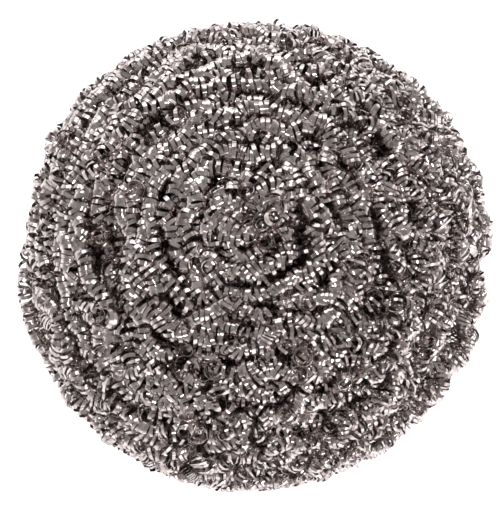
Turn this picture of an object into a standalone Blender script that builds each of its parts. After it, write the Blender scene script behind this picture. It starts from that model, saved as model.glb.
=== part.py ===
"""Tip cleaning wool: a round, flattened wad wound from springy strands of coiled metal ribbon.

Each strand is a fine flat ribbon coiled like a spring, and it is wound round and round the
middle of the wad. The wad is modelled as it comes apart: one closed solid for the space that
each strand's winding fills. Seven layers lie on each other, each with its rows of strands side
by side, and where a layer leaves room in its middle a short core strand is folded up in it.

The wad lies on its underside: +Z is up along the axis that the strands are wound round, and
the origin is the middle of the underside. Units are metres.
"""

import math

import bmesh
import bpy

# Driving dimensions of the wad.
WAD_DIAMETER = 0.0650
WAD_THICKNESS = 0.0340
STRAND_GAP = 0.0003          # clearance between the windings of two neighbouring strands

# Section of one strand's winding: an octagon with one side facing straight down.
WINDING_DIAMETER = 0.0054    # across the octagon's corners
WINDING_SIDES = 8

# Layers from the underside up: name, how many half rows its outermost row sits in from the
# rim's, and its number of rows. Neighbouring layers are half a row apart, so they nest.
LAYERS = (
    ("base", 5, 2),
    ("lower", 2, 4),
    ("low_mid", 1, 5),
    ("middle", 0, 5),
    ("high_mid", 1, 5),
    ("upper", 2, 4),
    ("top", 5, 2),
)

# Core strands, in the middle of the layers that leave room for one.
CORE_LEAST_RADIUS = 0.0015
CORE_CHAMFER = 0.0008
DIMPLE_DEPTH = 0.0018        # how far the outer two core strands lie below the wad's ends

# Straight steps round a turned solid.
WIDE_STEPS = 28
NARROW_STEPS = 16
NARROW_RADIUS = 0.0070       # turned solids up to this radius have the narrow number of steps
MERGE_DISTANCE = 0.00001     # points closer than this are one point

# The metal: bright steel ribbon with a faint warm tint.
RIBBON_COLOUR = (0.50, 0.44, 0.43, 1.0)
RIBBON_ROUGHNESS = 0.28

# Worked out from the dimensions above.
WINDING_RADIUS = WINDING_DIAMETER / 2
WINDING_HALF_HEIGHT = WINDING_RADIUS * math.cos(math.pi / WINDING_SIDES)
LAYER_RISE = (WAD_THICKNESS - 2 * WINDING_HALF_HEIGHT) / (len(LAYERS) - 1)
HALF_ROW = math.sqrt((WINDING_DIAMETER + STRAND_GAP) ** 2 - LAYER_RISE ** 2)
OUTER_ROW_RADIUS = WAD_DIAMETER / 2 - WINDING_HALF_HEIGHT


def clear_scene():
    """Remove everything that the scene starts with."""
    for found in list(bpy.data.objects):
        bpy.data.objects.remove(found, do_unlink=True)


def ribbon_metal():
    """The one material: plain bright steel."""
    metal = bpy.data.materials.new("ribbon_metal")
    metal.use_nodes = True
    shader = metal.node_tree.nodes["Principled BSDF"]
    shader.inputs["Base Color"].default_value = RIBBON_COLOUR
    shader.inputs["Metallic"].default_value = 1.0
    shader.inputs["Roughness"].default_value = RIBBON_ROUGHNESS
    return metal


def winding_section(row_radius, height):
    """The octagon's corners in the XZ plane, down its outer side and up its inner side."""
    corners = []
    for corner in range(WINDING_SIDES):
        angle = math.pi / 2 - (corner + 0.5) * 2 * math.pi / WINDING_SIDES
        x = row_radius + WINDING_RADIUS * math.cos(angle)
        z = height + WINDING_RADIUS * math.sin(angle)
        corners.append((x, 0.0, z))
    return corners


def core_section(radius, low, high):
    """A core strand's profile in the XZ plane, from the axis at its top to the axis below."""
    return [
        (0.0, 0.0, high),
        (radius - CORE_CHAMFER, 0.0, high),
        (radius, 0.0, high - CORE_CHAMFER),
        (radius, 0.0, low + CORE_CHAMFER),
        (radius - CORE_CHAMFER, 0.0, low),
        (0.0, 0.0, low),
    ]


def core_heights(height):
    """Lowest and highest point of the core strand in the layer at this height.

    It stays clear of the layers above and below, and below the dimples in the wad's ends.
    """
    half_height = LAYER_RISE - WINDING_HALF_HEIGHT - STRAND_GAP
    low = max(height - half_height, DIMPLE_DEPTH)
    high = min(height + half_height, WAD_THICKNESS - DIMPLE_DEPTH)
    return low, high


def add_turned(name, section, is_loop, steps, collection, metal):
    """Turn a section all the way round +Z. A loop makes a ring, an open section a plug."""
    outline = bmesh.new()
    corners = [outline.verts.new(corner) for corner in section]
    for first, second in zip(corners, corners[1:]):
        outline.edges.new((first, second))
    if is_loop:
        outline.edges.new((corners[-1], corners[0]))
    mesh = bpy.data.meshes.new(name)
    outline.to_mesh(mesh)
    outline.free()
    mesh.materials.append(metal)

    turned = bpy.data.objects.new(name, mesh)
    collection.objects.link(turned)
    screw = turned.modifiers.new("turn", 'SCREW')
    screw.axis = 'Z'
    screw.angle = 2 * math.pi
    screw.steps = steps
    screw.render_steps = steps
    screw.use_merge_vertices = True
    screw.merge_threshold = MERGE_DISTANCE
    screw.use_smooth_shade = False


def build_layer(number, collection, metal):
    """One layer: its rows of strands from the middle out, and its core strand if it has one."""
    layer, half_rows_in, rows = LAYERS[number]
    height = WINDING_HALF_HEIGHT + number * LAYER_RISE
    outermost = OUTER_ROW_RADIUS - half_rows_in * HALF_ROW
    innermost = outermost - (rows - 1) * 2 * HALF_ROW
    for row in range(rows):
        row_radius = innermost + row * 2 * HALF_ROW
        steps = NARROW_STEPS if row_radius < NARROW_RADIUS else WIDE_STEPS
        section = winding_section(row_radius, height)
        add_turned(f"{layer}_strand_{row + 1}", section, True, steps, collection, metal)

    core_radius = innermost - WINDING_HALF_HEIGHT - STRAND_GAP
    if core_radius > CORE_LEAST_RADIUS:
        section = core_section(core_radius, *core_heights(height))
        add_turned(f"{layer}_core_strand", section, False, NARROW_STEPS, collection, metal)


def build_wad():
    """All layers, in a collection of their own."""
    collection = bpy.data.collections.new("tip_cleaning_wool")
    bpy.context.scene.collection.children.link(collection)
    metal = ribbon_metal()
    for number in range(len(LAYERS)):
        build_layer(number, collection, metal)


clear_scene()
build_wad()
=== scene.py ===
"""Looks of the tip cleaning wool: coiled flat-ribbon strands, wound into the wad's rows.

Each CAD node is the space that one strand's winding fills. Here every one of them is replaced
by its real strand: a long flat steel ribbon, coiled like a spring, that winds round and round
inside that space, wanders, leans, stretches and lets single turns and ends spring out.
Everything is in metres, in the frame of the CAD model.
"""

import math

import bpy
import numpy as np
from mathutils import Euler, Matrix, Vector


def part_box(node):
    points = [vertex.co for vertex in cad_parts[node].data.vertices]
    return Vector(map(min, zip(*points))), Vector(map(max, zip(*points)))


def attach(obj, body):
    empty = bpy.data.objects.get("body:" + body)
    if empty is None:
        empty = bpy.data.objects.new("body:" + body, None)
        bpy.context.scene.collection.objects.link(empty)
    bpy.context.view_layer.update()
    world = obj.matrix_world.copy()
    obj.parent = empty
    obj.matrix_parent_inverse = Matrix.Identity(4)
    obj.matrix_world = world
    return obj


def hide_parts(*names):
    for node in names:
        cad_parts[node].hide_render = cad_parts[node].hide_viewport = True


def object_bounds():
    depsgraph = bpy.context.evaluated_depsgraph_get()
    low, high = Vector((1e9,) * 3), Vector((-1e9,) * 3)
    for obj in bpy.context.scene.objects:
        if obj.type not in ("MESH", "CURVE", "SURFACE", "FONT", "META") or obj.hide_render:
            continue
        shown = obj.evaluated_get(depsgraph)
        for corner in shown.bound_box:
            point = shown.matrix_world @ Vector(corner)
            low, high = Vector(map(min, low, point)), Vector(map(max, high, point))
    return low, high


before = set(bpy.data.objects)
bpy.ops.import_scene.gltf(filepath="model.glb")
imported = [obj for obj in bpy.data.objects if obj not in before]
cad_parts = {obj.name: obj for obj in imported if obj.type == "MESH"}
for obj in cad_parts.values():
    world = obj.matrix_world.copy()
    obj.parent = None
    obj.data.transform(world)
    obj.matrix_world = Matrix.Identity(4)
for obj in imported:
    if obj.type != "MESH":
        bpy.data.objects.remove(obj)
cad_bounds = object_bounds()

MM = 0.001
TURN = 2 * math.pi

# The ribbon and its coil.
RIBBON_WIDTH = 0.48 * MM
RIBBON_THICKNESS = 0.03 * MM
COIL_RADIUS = 1.12 * MM           # from the coil's axis to the middle of the ribbon
COIL_PITCH = 0.76 * MM            # along the coil's axis, from one turn to the next
MIDDLE_SEGMENTS = 12              # straight steps in one turn of a strand near the surface
RIM_SEGMENTS = 9                  # and of one at the rim
HIDDEN_SEGMENTS = 7               # and of one that is seen only through gaps
SKIN_SHARE = 0.86                 # of the way out, below which a strand is hidden
SKIN_PERCENT = 70                 # the percentage of a strand that has to lie deeper than that
MIDDLE_SHARE = 0.7                # of the wad's radius, beyond which a strand is at the rim
SHARP_EDGE = math.radians(60)     # the ribbon's own corners are sharp, and its bends are smooth

# How a strand is wound in the space of its CAD node.
LANES = (                         # aside and above, one for each pass: two lanes on each of four levels
    (-1, -1.5), (1, -1.5), (0, -0.5), (-1.9, -0.5), (-1, 0.5), (0.9, 0.5), (0, 1.4), (-1.9, 1.4),
)
PATH_STEP = 0.25 * MM
CHANGE_OVER = 0.16                # share of a pass in which it changes to the next lane
TIDY_GROOVE = 0.45                # how much the lanes are drawn together where the rows are tidiest
LEAST_PATH_RADIUS = 1.2 * MM      # the tightest that a strand winds round the wad's axis
MOST_STRAYING = 1.1               # looseness above which a path strays no further
STRAYING = (                      # wavelength, how far, and whether it grows with looseness
    (30 * MM, 0.65 * MM, False), (10 * MM, 0.55 * MM, True),
    (5 * MM, 0.45 * MM, True), (2.5 * MM, 0.15 * MM, False),
)
STRAYING_UP = 0.7                 # how far up and down for each millimetre aside
STRAYING_UP_AT_RIM = 0.6          # and so much more at the rim, where the layers tangle
TANGLE_FROM = 0.5                 # of the wad's radius, where that starts
TANGLE_SPAN = 0.4                 # and over which it grows to the full
CORE_TURNS = 2.0                  # of a strand in the middle of a layer
CORE_TURNS_PER_MM = 0.55          # and more of them for each millimetre of the middle's radius
CORE_POINTS = 600                 # along its line, before it is evenly stepped
CORE_MIDDLE = 0.5                 # of the middle's radius, about which it winds
CORE_LIMITS = (-0.6, 1.0)         # and between which it strays, also across the axis
CORE_CLEARANCE = 0.1 * COIL_RADIUS
CORE_ROUND_DRIFT = (1.7, 1.1)     # its wavelength in turns, and how far it strays, in radians
CORE_RADIUS_DRIFT = (0.9, 0.55)   # the same, as a share of the middle's radius
CORE_HEIGHT_DRIFT = (1.4, 0.8)    # and as a share of its half height

# How a strand has broken up, and how its ends lie.
LENGTH_SPAN = 60 * MM             # a strand has broken into lengths of about this span
CORE_SPAN = 13 * MM               # and one in the middle of a layer, about this
LEAST_SPAN = 4 * MM               # shorter bits have fallen out
BREAKS_WITHIN = (0.05, 0.95)      # of a strand, where it may have broken
TAIL_SPAN = 3.2 * MM              # the end of a length, which is turned outwards and coiled neatly
TAIL_PITCH = 0.65                 # how close its turns are, as a share of the pitch elsewhere
END_FLARE = 0.45                  # how far its turns are flared, in radians, so that they show as rings
END_LENGTH = (0.0, 0.9 * MM)      # how far it runs on straight
END_BEND = (0.9 * MM, 1.3 * MM)   # the radius that it is bent to
END_LEAN = 0.3                    # how far it leans from straight out
INNER_SHARE = 0.82                # of the wad's radius, beyond which ends aren't turned outwards

# How unevenly a strand is coiled: pairs of wavelength and amount, as natural logarithms of a
# share for the pitch and the radius, as slopes for the lean, and in radians for the twist.
WAVES_IN_SUM = 4                  # sines that make up one random wave
WAVE_SPREAD = (0.6, 1.8)          # of their wavelengths about the wanted one
PITCH_DRIFT = ((14 * MM, 0.30), (4 * MM, 0.22))
RADIUS_DRIFT = (11 * MM, 0.07)
LOOSE_RADIUS_DRIFT = (3 * MM, 0.07)
LEAN_DRIFT = ((6.5 * MM, 0.38), (2 * MM, 0.12))
TWIST_DRIFT = ((4 * MM, 0.26), (1.3 * MM, 0.25))
STRETCH_SPACING = 60 * MM         # a strand is drawn out in one place for each span of this
STRETCH_REACH = 1.6 * MM
STRETCH = (0.8, 1.8)              # how much further apart the turns are there
SPRING_SPACING = 14 * MM          # and a turn has sprung out for each span of this
SPRING_REACH = 0.5 * TURN
SPRING = (0.1, 0.45)              # how much larger such a turn is
SPRING_PUSH = (0.4, 1.3)          # and how far it is pushed out, for each part that it has grown
STRAND_SIZES = (0.92, 1.08)       # of one length's coil beside another's
CURL_IN_RADIUS = 0.6              # how far the radius follows the size of the curl
WIDTH_WHEN_TIGHT = 1.3            # share of the ribbon's width that shows in a neatly coiled strand
WIDTH_LOST_LOOSE = 0.3            # and how much less where it is loose
WIDTH_LIMITS = (0.9, 1.2)

# The wad's own form: waves round it, each with its number of lobes, phase and height.
OUTLINE_WAVES = (
    (3, 2.1, 0.35 * MM), (5, 4.0, 0.2 * MM), (2, math.pi / 2 - 2.6, 0.8 * MM),
)
TOP_WAVES = ((2, 3.0, 0.5 * MM), (4, 1.0, 0.3 * MM))
RIM_WAVES = ((3, 0.6, 0.9 * MM), (5, 2.2, 0.6 * MM))
ROW_SHIFT = 0.50 * MM             # how far a row strays from a circle
ROW_WAVES = (                     # share, wavelength, direction, and phase along X and along Y
    (1.0, 30 * MM, (1.0, 0.6, 0.0), (1.7, 4.3)),
    (1.0, 23 * MM, (-0.5, 1.0, 0.0), (0.4, 2.3)),
    (0.7, 17 * MM, (1.0, -1.0, 1.0), (2.9, 6.2)),
)
DOME_LIMITS = (0.8, 1.2)          # the most that a lane is pressed down or raised
FULLNESS = 1.02                   # of the form, before it is held in by its outline
HELD = 0.3                        # how much of what lies outside the outline is left outside it
REST_SOFTNESS = 0.25 * MM         # how gently the underside is pressed flat

# How unruly the strands are, and where. Distances are shares of the wad's radius.
LOOSE_INSIDE = 0.8
LOOSER_AT_RIM = 0.35
RIM_FROM = 0.35                   # where the strands start to get looser towards the rim
RIM_SPAN = 0.6
LOOSER_ASIDE = 0.55               # towards +X -Y, and tidier towards -X +Y
SIDE_SPAN = 1.2
MOST_TIDY = -0.7
FINER_CURLS = 0.26                # how much smaller the coils are towards +X -Y
TWIST_ALWAYS = 0.4                # share of the twist that every strand has
TWIST_LOOSE = 0.7                 # and so much more where it is loose

# The ribbon's finish. Colours are red, green and blue, in linear light.
DARK_TINT = (0.32, 0.273, 0.264)
LIGHT_TINT = (0.68, 0.603, 0.59)
# A painted highlight: a lighter colour along both edges of the ribbon, for the light that its edges catch.
EDGE_HIGHLIGHT_TINT = (0.62, 0.57, 0.555)
TINT_RANGE = (0.32, 0.62)         # of the cloudy noise, from the dark tint to the light one
CLOUD_SCALE = 900.0               # clouds of about a millimetre
# How far in from each edge the painted highlight reaches.
EDGE_HIGHLIGHT_SHARE = 0.07             # of the ribbon's width, on each side
LINES_SCALE = (9.0, 0.35, 1.0)    # nine lines across the ribbon, each about three millimetres long
LINES_RANGE = (0.3, 0.7)          # of their noise, over which the roughness rises
ROUGHNESS = (0.07, 0.17)
LINES_STRENGTH = 0.25
LINES_DEPTH = 0.02 * MM

# The studio.
FLOOR_GAP = 0.3 * MM              # the floor lies so far under the wad
FLOOR_SIZE = 3.0
FLOOR_GREY = (0.85, 0.85, 0.85)
FLOOR_GLOW = 0.8
WALLS = (1.1, 1.1, 1.1)
CEILING = (0.395, 0.39, 0.385)
WALLS_TO_CEILING = (0.10, 0.45)   # sines of the elevations where the walls end and the ceiling starts

CAMERA_ELEVATION = math.radians(77)
CAMERA_ROLL = math.radians(-16)
CAMERA_OFFSET = (-0.55 * MM, -1.05 * MM, 0.0)
SHARE_OF_HEIGHT = 0.926           # how much of the picture's height the wad takes up
LENS = 85
SENSOR_WIDTH = 36

# Everything random comes from one seed, so each run is the same.
SEED = 617


def wad_shape():
    """Centre, radius and half height of the whole wad, from the frame."""
    low, high = (np.array(corner) for corner in cad_bounds)
    return (low + high) / 2, (high[0] - low[0]) / 2, (high[2] - low[2]) / 2


def winding(node):
    """Radius of the ring that a node is turned round, and its height. A core's radius is 0."""
    low, high = (np.array(corner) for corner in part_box(node))
    height = (high[2] + low[2]) / 2
    radius = 0.0 if "core" in node else high[0] - (high[2] - low[2]) / 2
    return radius, height


WAD_CENTRE, WAD_RADIUS, WAD_HALF_HEIGHT = wad_shape()
WAD_HALF_SIZE = np.array([WAD_RADIUS, WAD_RADIUS, WAD_HALF_HEIGHT])

# Two lanes lie side by side in a winding, on each of four levels.
LANE_ASIDE = (winding("top_strand_2")[0] - winding("top_strand_1")[0]) / 4
LANE_ABOVE = (winding("top_strand_1")[1] - winding("upper_strand_1")[1]) / 4
LANE_MIDDLE = LANE_ASIDE * sum(aside for aside, above in LANES) / len(LANES)


def unit(vectors):
    """Vectors scaled to length one."""
    return vectors / np.linalg.norm(vectors, axis=-1, keepdims=True)


def wander(draw, along, wavelength, amplitude):
    """A smooth random wave along a strand: a few sines of about that wavelength."""
    total = np.zeros(len(along))
    for _ in range(WAVES_IN_SUM):
        wave = wavelength * draw.uniform(*WAVE_SPREAD)
        total += np.sin(TURN * along / wave + draw.uniform(0, TURN))
    return amplitude * total / math.sqrt(WAVES_IN_SUM)


def drift(draw, along, waves):
    """The sum of a random wave for each pair of wavelength and amount."""
    return sum(wander(draw, along, wavelength, amplitude) for wavelength, amplitude in waves)


def lobed(angle, waves):
    """The sum of waves round the wad, each with its number of lobes, phase and height."""
    return sum(height * np.sin(lobes * angle + phase) for lobes, phase, height in waves)


def distances(points):
    """Distance along a line of points, from its first."""
    steps = np.linalg.norm(np.diff(points, axis=0), axis=1)
    return np.concatenate(([0.0], np.cumsum(steps)))


def evenly(points, step):
    """The same line with a point every step."""
    along = distances(points)
    count = max(4, int(along[-1] / step))
    wanted = np.linspace(0, along[-1], count)
    return np.column_stack([np.interp(wanted, along, points[:, axis]) for axis in range(3)])


def outward(points):
    """Direction of the wad's skin at each point, as on a flattened ball."""
    return unit((points - WAD_CENTRE) / WAD_HALF_SIZE ** 2 + 1e-9)


def dome_columns():
    """How much the lanes at each radius are raised or pressed down, to make the steps a dome."""
    tops = {}
    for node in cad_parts:
        radius, height = winding(node)
        for aside, above in LANES:
            column = round((radius + aside * LANE_ASIDE) / LANE_ASIDE)
            level = height + above * LANE_ABOVE - WAD_CENTRE[2]
            tops[column] = max(level, tops.get(column, 0.0))
    columns = sorted(tops)
    radii = np.array(columns) * LANE_ASIDE
    roundness = np.sqrt(np.clip(1 - (radii / WAD_RADIUS) ** 2, 0, 1))
    wanted = (WAD_HALF_HEIGHT - COIL_RADIUS) * roundness
    stacked = np.array([tops[column] for column in columns])
    return radii, np.clip(wanted / stacked, *DOME_LIMITS)


DOME_RADII, DOME_SCALES = dome_columns()


def shift_across(points, axis):
    """How far the rows have shifted along X (axis 0) or Y (axis 1), so that they aren't round."""
    waves = np.zeros(len(points))
    for share, wavelength, direction, phases in ROW_WAVES:
        waves += share * np.sin(TURN * (points @ direction) / wavelength + phases[axis])
    reach = np.hypot(points[:, 0], points[:, 1]) / WAD_RADIUS
    # In full out to 0.4 of the radius, and hardly at all at the rim.
    fading = np.clip(1.6 - 1.5 * reach, 0, 1)
    return ROW_SHIFT * waves * fading


def settled(points):
    """The wad's own form, which all strands share: a dome that isn't quite round or level."""
    from_centre = points - WAD_CENTRE
    angle = np.arctan2(from_centre[:, 1], from_centre[:, 0])
    distance = np.hypot(from_centre[:, 0], from_centre[:, 1])
    reach = distance / WAD_RADIUS
    swell = lobed(angle, OUTLINE_WAVES) * reach
    moved = points.copy()
    moved[:, 0] += swell * np.cos(angle)
    moved[:, 1] += swell * np.sin(angle)
    level = from_centre[:, 2] * np.interp(distance, DOME_RADII, DOME_SCALES)
    share = np.clip(level / WAD_HALF_HEIGHT, -1, 1)
    on_top = lobed(angle, TOP_WAVES) * np.clip(share, 0, 1)
    at_rim = lobed(angle, RIM_WAVES) * (1 - share ** 2)
    moved[:, 2] = WAD_CENTRE[2] + level + (on_top + at_rim) * reach

    for axis in range(2):
        moved[:, axis] += shift_across(points, axis)
    from_centre = FULLNESS * (moved - WAD_CENTRE)
    room = WAD_HALF_SIZE - COIL_RADIUS * curl_size(moved)[:, None]
    out = np.linalg.norm(from_centre / room, axis=1)
    held = np.where(out > 1, 1 + (out - 1) * HELD, out) / np.maximum(out, 0.1)
    return WAD_CENTRE + from_centre * held[:, None]


def looseness(points):
    """How unruly the strands are: tidy rows inside, looser at the rim and on the +X -Y side."""
    from_centre = (points - WAD_CENTRE) / WAD_RADIUS
    reach = np.hypot(from_centre[:, 0], from_centre[:, 1])
    to_rim = np.clip((reach - RIM_FROM) / RIM_SPAN, 0, 1)
    to_side = np.clip((from_centre[:, 0] - from_centre[:, 1]) / SIDE_SPAN, MOST_TIDY, 1)
    return LOOSE_INSIDE + LOOSER_AT_RIM * to_rim + LOOSER_ASIDE * to_side


def curl_size(points):
    """How large the coil is, as a share: the strands are curled finer on the +X -Y side."""
    from_centre = (points - WAD_CENTRE) / WAD_RADIUS
    return 1 - FINER_CURLS * np.clip(from_centre[:, 0] - from_centre[:, 1], 0, 1)


def bent_away(points, direction, length, bend_radius):
    """The line with a tail: it bends round towards the direction, then runs on straight."""
    tail = [points[-1]]
    heading = unit(points[-1] - points[-3])
    for _ in range(int((bend_radius * math.pi / 2 + length) / PATH_STEP)):
        pull = direction - heading * np.dot(heading, direction)
        if np.linalg.norm(pull) > 0.03:
            heading = unit(heading + unit(pull) * PATH_STEP / bend_radius)
        tail.append(tail[-1] + heading * PATH_STEP)
    return np.vstack((points, tail[1:]))


def with_ends_out(draw, path):
    """The line with its ends turned out of the wad, so that the coil is seen end on.

    An end at the rim is left in its row.
    """
    for _ in range(2):
        path = path[::-1]
        direction = unit(outward(path[-1:])[0] + draw.uniform(-END_LEAN, END_LEAN, 3))
        length = draw.uniform(*END_LENGTH)
        bend_radius = draw.uniform(*END_BEND)
        if math.hypot(*path[-1, :2]) < INNER_SHARE * WAD_RADIUS:
            path = bent_away(path, direction, length, bend_radius)
    return path


def winding_path(draw, row_radius, height):
    """The middle line of a strand that winds round its row, one lane after another."""
    passes = len(LANES)
    turns = np.linspace(0, passes, int(passes * TURN * row_radius / PATH_STEP))[:-1]
    around = TURN * turns + draw.uniform(0, TURN)
    lane = turns.astype(int)
    into_next = np.clip((turns - lane - (1 - CHANGE_OVER)) / CHANGE_OVER, 0, 1)
    into_next = (into_next ** 2 * (3 - 2 * into_next))[:, None]
    places = np.array(LANES + LANES[:1]) * (LANE_ASIDE, LANE_ABOVE)
    place = places[lane] * (1 - into_next) + places[lane + 1] * into_next

    row = np.column_stack((row_radius * np.cos(around), row_radius * np.sin(around), 0 * around + height))
    loose = np.minimum(looseness(row), MOST_STRAYING)
    drawn_in = 1 - TIDY_GROOVE * np.clip(1 - loose, 0, 1)
    place[:, 0] = LANE_MIDDLE + (place[:, 0] - LANE_MIDDLE) * drawn_in
    along = turns * TURN * row_radius
    to_rim = np.clip((row_radius / WAD_RADIUS - TANGLE_FROM) / TANGLE_SPAN, 0, 1)
    for axis, share in enumerate((1.0, STRAYING_UP + STRAYING_UP_AT_RIM * to_rim)):
        for wavelength, amplitude, with_looseness in STRAYING:
            strayed = wander(draw, along, wavelength, amplitude)
            place[:, axis] += strayed * share * (loose if with_looseness else 1.0)
    radius = np.maximum(row_radius + place[:, 0], LEAST_PATH_RADIUS)
    line = np.column_stack((radius * np.cos(around), radius * np.sin(around), height + place[:, 1]))
    return evenly(line, PATH_STEP)


def in_lengths(draw, path, span):
    """The line in the lengths of about that span that the strand has broken into."""
    count = max(1, round(len(path) * PATH_STEP / span))
    cuts = np.sort(draw.uniform(*BREAKS_WITHIN, count - 1)) * len(path)
    edges = [0, *cuts.astype(int), len(path)]
    least = LEAST_SPAN / PATH_STEP
    return [path[first:last] for first, last in zip(edges, edges[1:]) if last - first > least]


def core_path(draw, core_radius, height, half_height):
    """The middle line of a strand that is tangled up in the middle of a layer."""
    inner = core_radius - CORE_CLEARANCE
    turns = np.linspace(0, CORE_TURNS + CORE_TURNS_PER_MM * core_radius / MM, CORE_POINTS)
    around = TURN * turns + wander(draw, turns, *CORE_ROUND_DRIFT)
    radius = inner * np.clip(CORE_MIDDLE + wander(draw, turns, *CORE_RADIUS_DRIFT), *CORE_LIMITS)
    level = height + half_height * np.clip(wander(draw, turns, *CORE_HEIGHT_DRIFT), -1, 1)
    return evenly(np.column_stack((radius * np.cos(around), radius * np.sin(around), level)), PATH_STEP)


def carried_frames(points):
    """Tangents of a line, and two cross directions that turn as little as they can."""
    tangents = unit(np.gradient(points, axis=0))
    first = np.empty_like(points)
    guess = np.array([0.0, 0.0, 1.0]) if abs(tangents[0][2]) < 0.9 else np.array([1.0, 0.0, 0.0])
    for number, tangent in enumerate(tangents):
        guess = guess - tangent * np.dot(guess, tangent)
        guess = guess / math.sqrt(np.dot(guess, guess))
        first[number] = guess
    return tangents, first, np.cross(tangents, first)


def at(wanted, along, values):
    """Values along a line, read off at the wanted distances."""
    if values.ndim == 1:
        return np.interp(wanted, along, values)
    return np.column_stack([np.interp(wanted, along, values[:, axis]) for axis in range(3)])


def coil_pitch(draw, path, along, steady):
    """Distance from one turn to the next: it drifts along a path, and is drawn out in places."""
    pitch = COIL_PITCH * np.exp(drift(draw, along, PITCH_DRIFT))
    pitch *= curl_size(path) * (TAIL_PITCH + (1 - TAIL_PITCH) * steady)
    for _ in range(int(along[-1] / STRETCH_SPACING)):
        place = draw.uniform(0, along[-1])
        pitch *= 1 + draw.uniform(*STRETCH) * np.exp(-((along - place) / STRETCH_REACH) ** 2)
    return pitch


def coil_radius(draw, place, loose, size):
    """Radius of the coil, which drifts along it, more where it is loose."""
    radius = wander(draw, place, *RADIUS_DRIFT) + wander(draw, place, *LOOSE_RADIUS_DRIFT) * loose
    follow = 1 - CURL_IN_RADIUS + CURL_IN_RADIUS * size
    return COIL_RADIUS * draw.uniform(*STRAND_SIZES) * follow * np.exp(radius)


def sprung_out(draw, span, angle, loose, radius):
    """The radius with single turns sprung larger, and how far those turns are pushed out."""
    pushed = np.zeros(len(angle))
    for _ in range(int(span / SPRING_SPACING)):
        peak = draw.uniform(0, angle[-1])
        swell = np.exp(-((angle - peak) / SPRING_REACH) ** 2)
        growth = draw.uniform(*SPRING) * np.interp(peak, angle, loose) * swell
        radius = radius * (1 + growth)
        pushed += growth * COIL_RADIUS * draw.uniform(*SPRING_PUSH)
    return radius, pushed


def coil_ribbon(draw, path, segments, hand):
    """Corners of the ribbon's section all along a coil that follows the path.

    Returns an array of sections by 4 corners by 3, and the distance along the ribbon.
    """
    along = distances(path)
    tangents, first, second = carried_frames(path)
    steady = np.clip(np.minimum(along, along[-1] - along) / TAIL_SPAN, 0, 1)
    pitch = coil_pitch(draw, path, along, steady)
    phase = np.concatenate(([0.0], np.cumsum(np.diff(along) * TURN / pitch[:-1])))

    count = int(phase[-1] / TURN * segments)
    angle = np.arange(count) * TURN / segments
    place = np.interp(angle, phase, along)
    centre = at(place, along, path)
    skin = outward(centre)
    size = curl_size(centre)
    steady = at(place, along, steady)
    loose = looseness(centre) * steady
    radius = coil_radius(draw, place, loose, size)
    radius, pushed = sprung_out(draw, along[-1], angle, loose, radius)
    centre = centre + skin * pushed[:, None]

    cosine = np.cos(hand * angle)[:, None]
    sine = np.sin(hand * angle)[:, None]
    spoke = at(place, along, first) * cosine + at(place, along, second) * sine
    lean_across = (drift(draw, place, LEAN_DRIFT) * loose)[:, None]
    lean_over = (drift(draw, place, LEAN_DRIFT) * loose)[:, None]
    lean = at(place, along, tangents) * (lean_across * cosine + lean_over * sine)
    line = centre + radius[:, None] * (spoke + lean)

    running = unit(np.gradient(line, axis=0))
    facing = unit(spoke - running * np.sum(spoke * running, axis=1, keepdims=True))
    sideways = np.cross(running, facing)
    twist = drift(draw, place, TWIST_DRIFT) * (TWIST_ALWAYS * steady + TWIST_LOOSE * loose)
    twist = (twist + END_FLARE * (1 - steady))[:, None]
    width_way = sideways * np.cos(twist) + facing * np.sin(twist)
    thick_way = facing * np.cos(twist) - sideways * np.sin(twist)

    # The ribbon is a little wider where the rows are tidy, and narrower where the curls are fine.
    width = RIBBON_WIDTH * np.sqrt(size) * np.clip(WIDTH_WHEN_TIGHT - WIDTH_LOST_LOOSE * loose, *WIDTH_LIMITS)
    half_width = width_way * width[:, None] / 2
    half_thick = thick_way * RIBBON_THICKNESS / 2
    corners = np.stack((
        line - half_width + half_thick,
        line + half_width + half_thick,
        line + half_width - half_thick,
        line - half_width - half_thick,
    ), axis=1)
    return corners, distances(line)


def ribbon_mesh(name, ribbons):
    """One mesh of closed ribbons, each with four long sides and a cap at each end.

    Its UV map holds the ribbon's own coordinates: across it from 0 to 1, and along it in
    millimetres.
    """
    corner = np.arange(4)
    following = (corner + 1) % 4
    across = np.array([[0, 1, 1, 0], [1, 1, 1, 1], [1, 0, 0, 1], [0, 0, 0, 0]], dtype=float)
    faces, coordinates, first = [], [], 0
    for corners, along in ribbons:
        sections = len(corners)
        start = first + np.arange(sections - 1)[:, None] * 4
        sides = np.stack((start + corner, start + following, start + 4 + following, start + 4 + corner), -1)
        last = first + (sections - 1) * 4
        faces += [sides.reshape(-1, 4), [first + corner[::-1]], [last + corner]]

        uv = np.zeros((sections - 1, 4, 4, 2))
        uv[..., 0] = across
        uv[..., :2, 1] = along[:-1, None, None] / MM
        uv[..., 2:, 1] = along[1:, None, None] / MM
        coordinates += [uv.reshape(-1, 2), np.zeros((8, 2))]
        first += sections * 4

    faces = np.concatenate(faces).astype(np.int32)
    places = np.concatenate([corners.reshape(-1, 3) for corners, along in ribbons])
    mesh = bpy.data.meshes.new(name)
    mesh.vertices.add(len(places))
    mesh.vertices.foreach_set("co", places.astype(np.float32).ravel())
    mesh.loops.add(faces.size)
    mesh.loops.foreach_set("vertex_index", faces.ravel())
    mesh.polygons.add(len(faces))
    mesh.polygons.foreach_set("loop_start", np.arange(0, faces.size, 4, dtype=np.int32))
    mesh.update(calc_edges=True)
    layer = mesh.uv_layers.new(name="ribbon")
    layer.uv.foreach_set("vector", np.concatenate(coordinates).astype(np.float32).ravel())
    mesh.set_sharp_from_angle(angle=SHARP_EDGE)
    return mesh


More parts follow.
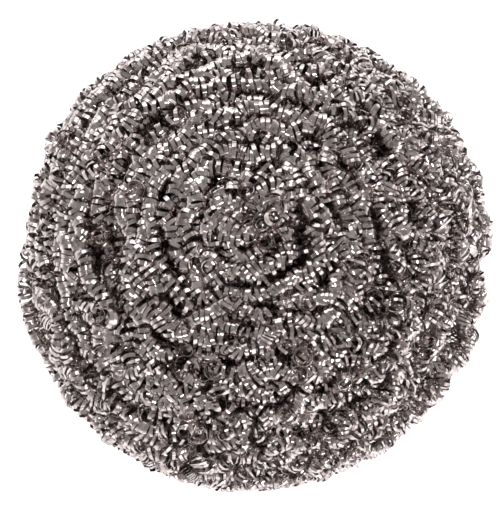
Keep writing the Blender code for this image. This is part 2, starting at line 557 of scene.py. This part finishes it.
def steps_in_turn(path):
    """How many straight steps a turn of the coil along a path has, by how well it is seen."""
    reach = np.linalg.norm((path - WAD_CENTRE) / WAD_HALF_SIZE, axis=1)
    if np.percentile(reach, SKIN_PERCENT) < SKIN_SHARE:
        return HIDDEN_SEGMENTS
    from_axis = np.hypot(path[:, 0], path[:, 1]).mean()
    return MIDDLE_SEGMENTS if from_axis < MIDDLE_SHARE * WAD_RADIUS else RIM_SEGMENTS


def resting(heights):
    """Heights above the surface that the wad lies on, with what would dip into it pressed up."""
    above = heights - cad_bounds[0][2]
    return cad_bounds[0][2] + (above + np.sqrt(above ** 2 + REST_SOFTNESS ** 2)) / 2


def strand_draw(name):
    """A random source of the strand's own, the same in each run."""
    letters = sum((place + 1) * ord(letter) for place, letter in enumerate(name))
    return np.random.RandomState(SEED + letters)


def make_strand(name, metal):
    """Makes the real strand of one CAD node, which it replaces."""
    draw = strand_draw(name)
    low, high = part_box(name)
    row_radius, height = winding(name)
    if row_radius == 0.0:
        path = core_path(draw, high[0], height, (high[2] - low[2]) / 2)
        lengths = in_lengths(draw, path, CORE_SPAN)
    else:
        lengths = in_lengths(draw, winding_path(draw, row_radius, height), LENGTH_SPAN)
    ribbons = []
    for path in lengths:
        path = with_ends_out(draw, settled(path))
        corners, along = coil_ribbon(draw, path, steps_in_turn(path), draw.choice((-1, 1)))
        corners[..., 2] = resting(corners[..., 2])
        ribbons.append((corners, along))
    mesh = ribbon_mesh(name + "_ribbon", ribbons)
    mesh.materials.append(metal)
    strand = bpy.data.objects.new(name + "_ribbon", mesh)
    bpy.context.scene.collection.objects.link(strand)
    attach(strand, "root")
    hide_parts(name)


def add_node(tree, kind, **values):
    """A new shader node with the values of its inputs. In a name, _ stands for a space."""
    node = tree.nodes.new(kind)
    for name, value in values.items():
        node.inputs[name.replace("_", " ")].default_value = value
    return node


def add_ramp(tree, positions, colours):
    """A ramp node that runs from one colour to another."""
    node = tree.nodes.new("ShaderNodeValToRGB")
    for element, position, colour in zip(node.color_ramp.elements, positions, colours):
        element.position = position
        element.color = (*colour, 1)
    return node


def add_edge_curve(tree):
    """A curve node that is 1 at both edges of the ribbon, and 0 everywhere between them: the mask of the
    painted edge highlight.
    """
    node = tree.nodes.new("ShaderNodeFloatCurve")
    points = node.mapping.curves[0].points
    points[0].location = (0.0, 1.0)
    points[1].location = (1.0, 1.0)
    for position in (EDGE_HIGHLIGHT_SHARE, 1 - EDGE_HIGHLIGHT_SHARE):
        points.new(position, 0.0)
    return node


def ribbon_steel():
    """Bright rolled steel ribbon: fine lines along it, cloudy tint and gloss, and a painted highlight along
    both edges.
    """
    metal = bpy.data.materials.new("ribbon_steel")
    metal.use_nodes = True
    tree = metal.node_tree
    link = tree.links.new
    shader = tree.nodes["Principled BSDF"]
    shader.inputs["Metallic"].default_value = 1.0

    ribbon = tree.nodes.new("ShaderNodeUVMap")
    ribbon.uv_map = "ribbon"
    lines_place = add_node(tree, "ShaderNodeMapping", Scale=LINES_SCALE)
    link(ribbon.outputs["UV"], lines_place.inputs["Vector"])
    lines = add_node(tree, "ShaderNodeTexNoise", Scale=1.0, Detail=2.0)
    link(lines_place.outputs["Vector"], lines.inputs["Vector"])

    place = tree.nodes.new("ShaderNodeTexCoord")
    cloud = add_node(tree, "ShaderNodeTexNoise", Scale=CLOUD_SCALE, Detail=2.0)
    link(place.outputs["Object"], cloud.inputs["Vector"])
    tint = add_ramp(tree, TINT_RANGE, (DARK_TINT, LIGHT_TINT))
    link(cloud.outputs["Fac"], tint.inputs["Fac"])

    split = tree.nodes.new("ShaderNodeSeparateXYZ")
    link(ribbon.outputs["UV"], split.inputs["Vector"])
    edge = add_edge_curve(tree)
    link(split.outputs["X"], edge.inputs["Value"])
    # Painted highlight: the colour is mixed towards a lighter one along both edges of the ribbon.
    edge_highlight = tree.nodes.new("ShaderNodeMix")
    edge_highlight.data_type = 'RGBA'
    edge_highlight.inputs["B"].default_value = (*EDGE_HIGHLIGHT_TINT, 1)
    link(edge.outputs["Value"], edge_highlight.inputs["Factor"])
    link(tint.outputs["Color"], edge_highlight.inputs["A"])
    link(edge_highlight.outputs["Result"], shader.inputs["Base Color"])

    gloss = add_node(tree, "ShaderNodeMapRange", From_Min=LINES_RANGE[0], From_Max=LINES_RANGE[1],
                     To_Min=ROUGHNESS[0], To_Max=ROUGHNESS[1])
    link(lines.outputs["Fac"], gloss.inputs["Value"])
    link(gloss.outputs["Result"], shader.inputs["Roughness"])

    bump = add_node(tree, "ShaderNodeBump", Strength=LINES_STRENGTH, Distance=LINES_DEPTH)
    link(lines.outputs["Fac"], bump.inputs["Height"])
    link(bump.outputs["Normal"], shader.inputs["Normal"])
    return metal


def pale_floor():
    """A plain, softly glowing white table top under the wad."""
    bpy.ops.mesh.primitive_plane_add(size=FLOOR_SIZE, location=(0, 0, cad_bounds[0][2] - FLOOR_GAP))
    floor = bpy.context.object
    floor.name = "floor"
    paint = bpy.data.materials.new("pale_floor")
    paint.use_nodes = True
    shader = paint.node_tree.nodes["Principled BSDF"]
    shader.inputs["Base Color"].default_value = (*FLOOR_GREY, 1)
    shader.inputs["Roughness"].default_value = 0.9
    shader.inputs["Emission Color"].default_value = (1, 1, 1, 1)
    shader.inputs["Emission Strength"].default_value = FLOOR_GLOW
    floor.data.materials.append(paint)


def sky():
    """Pale studio walls all round, and a darker grey ceiling."""
    world = bpy.data.worlds.new("studio")
    bpy.context.scene.world = world
    world.use_nodes = True
    tree = world.node_tree
    place = tree.nodes.new("ShaderNodeTexCoord")
    split = tree.nodes.new("ShaderNodeSeparateXYZ")
    tree.links.new(place.outputs["Generated"], split.inputs["Vector"])
    ramp = add_ramp(tree, WALLS_TO_CEILING, (WALLS, CEILING))
    tree.links.new(split.outputs["Z"], ramp.inputs["Fac"])
    tree.links.new(ramp.outputs["Color"], tree.nodes["Background"].inputs["Color"])


def soft_light(name, azimuth, elevation, distance, size, power):
    """A round soft light that shines at the wad from a direction, in degrees."""
    lamp = bpy.data.lights.new(name, 'AREA')
    lamp.shape = 'DISK'
    lamp.size = size
    lamp.energy = power
    light = bpy.data.objects.new(name, lamp)
    bpy.context.scene.collection.objects.link(light)
    turn, rise = math.radians(azimuth), math.radians(elevation)
    way = np.array([math.sin(turn) * math.cos(rise), -math.cos(turn) * math.cos(rise), math.sin(rise)])
    light.location = WAD_CENTRE + way * distance
    light.rotation_euler = (math.pi / 2 - rise, 0, turn)


def camera():
    """A long lens that looks down on the wad, a little from the front and slightly rolled."""
    lens = bpy.data.cameras.new("camera")
    lens.lens = LENS
    lens.sensor_width = SENSOR_WIDTH
    lens.clip_start = 10 * MM
    eye = bpy.data.objects.new("camera", lens)
    bpy.context.scene.collection.objects.link(eye)
    distance = 2 * WAD_RADIUS / SHARE_OF_HEIGHT * lens.lens / lens.sensor_width
    way = np.array([0, -math.cos(CAMERA_ELEVATION), math.sin(CAMERA_ELEVATION)])
    eye.location = WAD_CENTRE + way * distance + CAMERA_OFFSET
    look = Euler((math.pi / 2 - CAMERA_ELEVATION, 0, 0)).to_matrix() @ Matrix.Rotation(CAMERA_ROLL, 3, 'Z')
    eye.rotation_euler = look.to_euler()
    bpy.context.scene.camera = eye


def studio():
    """The floor, the surroundings, three soft lights and the camera."""
    pale_floor()
    sky()
    soft_light("back_light", azimuth=175, elevation=35, distance=0.6, size=0.5, power=1.4)
    soft_light("front_light", azimuth=-15, elevation=66, distance=0.6, size=0.11, power=0.5)
    soft_light("low_light", azimuth=30, elevation=18, distance=0.7, size=0.6, power=1.4)
    camera()
    bpy.context.scene.view_settings.view_transform = 'Standard'


metal = ribbon_steel()
for node in sorted(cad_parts):
    make_strand(node, metal)
studio()
